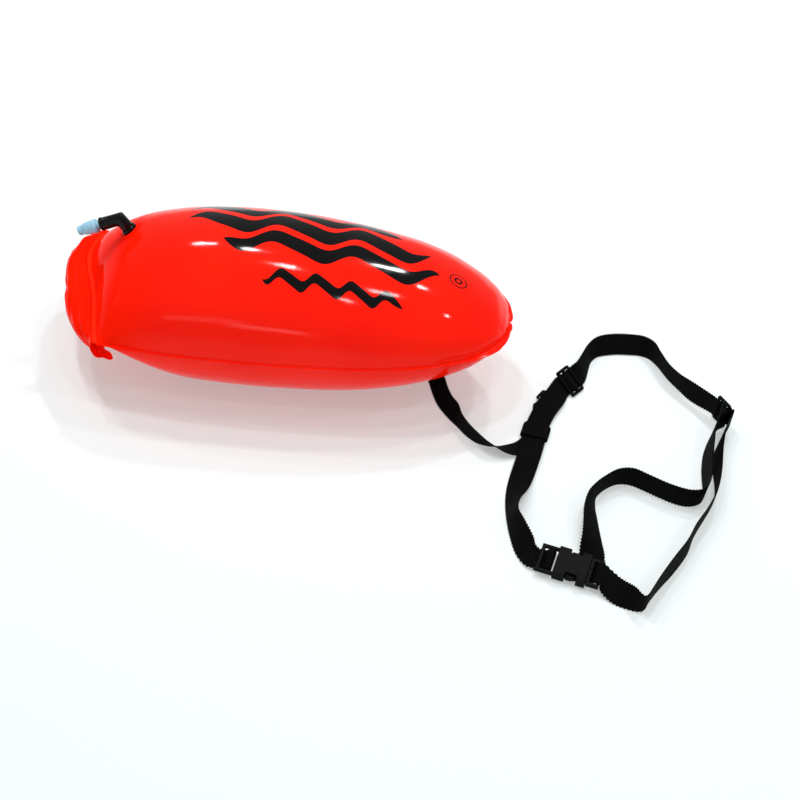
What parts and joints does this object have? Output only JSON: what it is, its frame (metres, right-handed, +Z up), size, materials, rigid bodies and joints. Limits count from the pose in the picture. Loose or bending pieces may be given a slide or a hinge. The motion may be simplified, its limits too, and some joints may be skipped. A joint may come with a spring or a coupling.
{
  "type": "open water swim buoy",
  "caption": "Inflated red swim buoy with a roll-top tail, an inflation valve, a webbing tether and an adjustable waist belt with a side-release buckle.",
  "frame": {"origin": "on the floor plane, on the flat rest face under the middle of the inflated body", "axes": "+X along the body from the roll-top tail to the nose, +Z up, seam plane level; the belt lies on the floor beyond the nose"},
  "size_m": [0.7729, 0.4052, 0.1827],
  "materials": {
    "red_vinyl_upper": "glossy welded vinyl film",
    "red_vinyl_lower": "glossy welded vinyl film",
    "weld_bar_vinyl": "heat-pressed vinyl with fine ribs",
    "mouth_vinyl": "glossy folded vinyl sheet",
    "stiffener_plastic": "flat extruded strip",
    "weld_ring_vinyl": "heat-pressed vinyl ring",
    "valve_boss_plastic": "moulded black, glossy",
    "valve_elbow_plastic": "moulded black, glossy",
    "mouthpiece_plastic": "moulded pale blue",
    "valve_seal_rubber": "soft moulded seal",
    "anchor_patch_vinyl": "heat-pressed vinyl disc",
    "anchor_tab_webbing": "woven webbing",
    "anchor_ring_plastic": "moulded black",
    "leash_webbing": "woven webbing",
    "leash_slider_plastic": "moulded black",
    "leash_loop_webbing": "woven webbing",
    "belt_webbing": "woven webbing with a ribbed edge",
    "stop_slider_plastic": "moulded black",
    "adjuster_slider_plastic": "moulded black",
    "buckle_socket_plastic": "moulded black, satin",
    "buckle_plug_plastic": "moulded black, satin",
    "latch_arm_plastic": "moulded black, satin",
    "latch_arm_right_plastic": "moulded black, satin"
  },
  "bodies": {
    "buoy_and_belt": {"upper_panel": "red_vinyl_upper", "lower_panel": "red_vinyl_lower", "tail_weld_bar": "weld_bar_vinyl", "rolled_mouth": "mouth_vinyl", "mouth_stiffener": "stiffener_plastic", "valve_weld_ring": "weld_ring_vinyl", "valve_boss": "valve_boss_plastic", "valve_elbow": "valve_elbow_plastic", "anchor_patch": "anchor_patch_vinyl", "anchor_tab": "anchor_tab_webbing", "anchor_ring": "anchor_ring_plastic", "leash_webbing": "leash_webbing", "leash_slider": "leash_slider_plastic", "leash_loop": "leash_loop_webbing", "belt_webbing": "belt_webbing", "adjuster_slider": "adjuster_slider_plastic", "buckle_socket": "buckle_socket_plastic"},
    "mouthpiece": {"valve_mouthpiece": "mouthpiece_plastic", "valve_seal": "valve_seal_rubber"},
    "plug": {"buckle_plug": "buckle_plug_plastic"},
    "left_arm": {"latch_arm_left": "latch_arm_plastic"},
    "right_arm": {"latch_arm_right": "latch_arm_right_plastic"},
    "stop": {"stop_slider": "stop_slider_plastic"}
  },
  "joints": [
    {"name": "mouthpiece_press", "type": "slide", "parent": "buoy_and_belt", "child": "mouthpiece", "axis": [0.9412, 0.181, 0.2854], "range_m": [0, 0.004], "stiffness_N_per_m": 500},
    {"name": "buckle_release", "type": "slide", "parent": "buoy_and_belt", "child": "plug", "axis": [0.9744, -0.225, 0], "range_m": [0, 0.03], "deforming": ["belt_webbing", "latch_arm_left", "latch_arm_right"]},
    {"name": "left_latch", "type": "hinge", "parent": "plug", "child": "left_arm", "pos_m": [0.33933, -0.25044, 0.0072], "axis": [0, 0, 1], "range_deg": [0, 10], "stiffness_Nm_per_rad": 0.6},
    {"name": "right_latch", "type": "hinge", "parent": "plug", "child": "right_arm", "pos_m": [0.33519, -0.26837, 0.0072], "axis": [0, 0, 1], "range_deg": [-10, 0], "stiffness_Nm_per_rad": 0.6},
    {"name": "stop_slide", "type": "slide", "parent": "buoy_and_belt", "child": "stop", "axis": [0.6154, 0.7876, 0.03], "range_m": [0, 0.02], "deforming": ["belt_webbing"]}
  ],
  "couplings": [
    {"joint": "right_latch", "follows": "left_latch", "ratio": -1}
  ]
}
